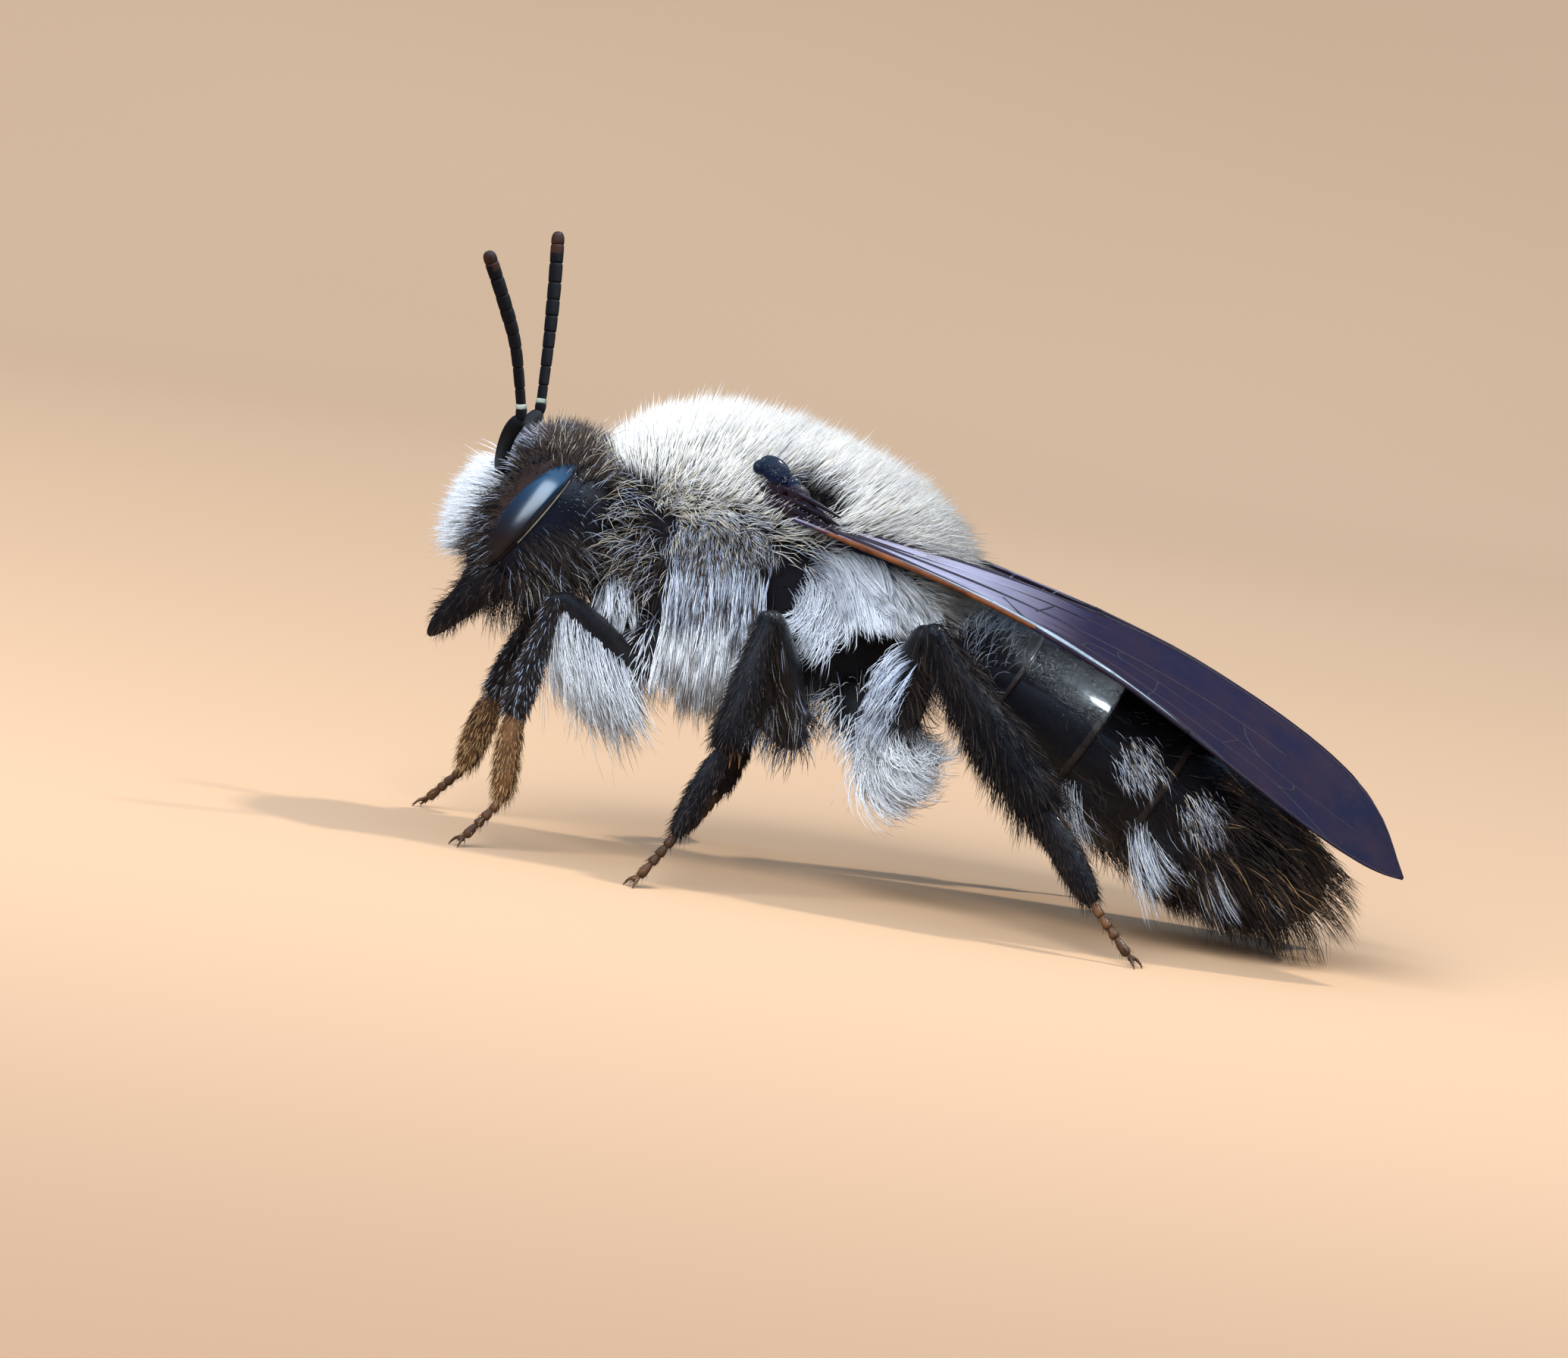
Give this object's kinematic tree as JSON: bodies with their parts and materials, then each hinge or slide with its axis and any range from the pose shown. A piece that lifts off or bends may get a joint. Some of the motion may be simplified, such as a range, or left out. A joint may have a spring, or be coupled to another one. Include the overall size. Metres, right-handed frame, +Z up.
{
  "type": "mining bee",
  "caption": "Still life-size mining bee with pale thorax pile, glossy black body and smoky folded wings, standing on its feet.",
  "frame": {"origin": "on the floor, under the middle of the bee's box", "axes": "head towards -X and tail towards +X, the bee's left side towards -Y, +Z up"},
  "size_m": [0.0152, 0.009, 0.0092],
  "materials": {
    "chitin": "glossy black shell with a faint blue sheen",
    "pale_pile": "dense erect white hair, bluish white on the sides",
    "dark_pile": "black shell under brown and grey hair",
    "eye": "glossy blue-black compound eye",
    "wing": "smoky translucent membrane with dark veins"
  },
  "bodies": {
    "root": {"abdomen_segment_1": "chitin", "abdomen_segment_2": "chitin", "abdomen_segment_3": "chitin", "abdomen_segment_4": "chitin", "abdomen_segment_5": "chitin", "abdomen_segment_6": "chitin", "antenna_flagellum_left": "chitin", "antenna_flagellum_right": "chitin", "antenna_scape_left": "chitin", "antenna_scape_right": "chitin", "eye_left": "eye", "eye_right": "eye", "forewing_left": "wing", "forewing_right": "wing", "head": "dark_pile", "hindwing_left": "wing", "hindwing_right": "wing", "leg_front_left_basitarsus": "dark_pile", "leg_front_left_coxa": "chitin", "leg_front_left_femur": "chitin", "leg_front_left_foot": "chitin", "leg_front_left_tibia": "dark_pile", "leg_front_right_basitarsus": "dark_pile", "leg_front_right_coxa": "chitin", "leg_front_right_femur": "chitin", "leg_front_right_foot": "chitin", "leg_front_right_tibia": "dark_pile", "leg_hind_left_basitarsus": "dark_pile", "leg_hind_left_coxa": "chitin", "leg_hind_left_femur": "chitin", "leg_hind_left_foot": "chitin", "leg_hind_left_tibia": "dark_pile", "leg_hind_right_basitarsus": "dark_pile", "leg_hind_right_coxa": "chitin", "leg_hind_right_femur": "chitin", "leg_hind_right_foot": "chitin", "leg_hind_right_tibia": "dark_pile", "leg_middle_left_basitarsus": "dark_pile", "leg_middle_left_coxa": "chitin", "leg_middle_left_femur": "chitin", "leg_middle_left_foot": "chitin", "leg_middle_left_tibia": "dark_pile", "leg_middle_right_basitarsus": "dark_pile", "leg_middle_right_coxa": "chitin", "leg_middle_right_femur": "chitin", "leg_middle_right_foot": "chitin", "leg_middle_right_tibia": "dark_pile", "mandible_left": "chitin", "mandible_right": "chitin", "tegula_left": "chitin", "tegula_right": "chitin", "thorax": "pale_pile"}
  },
  "joints": []
}
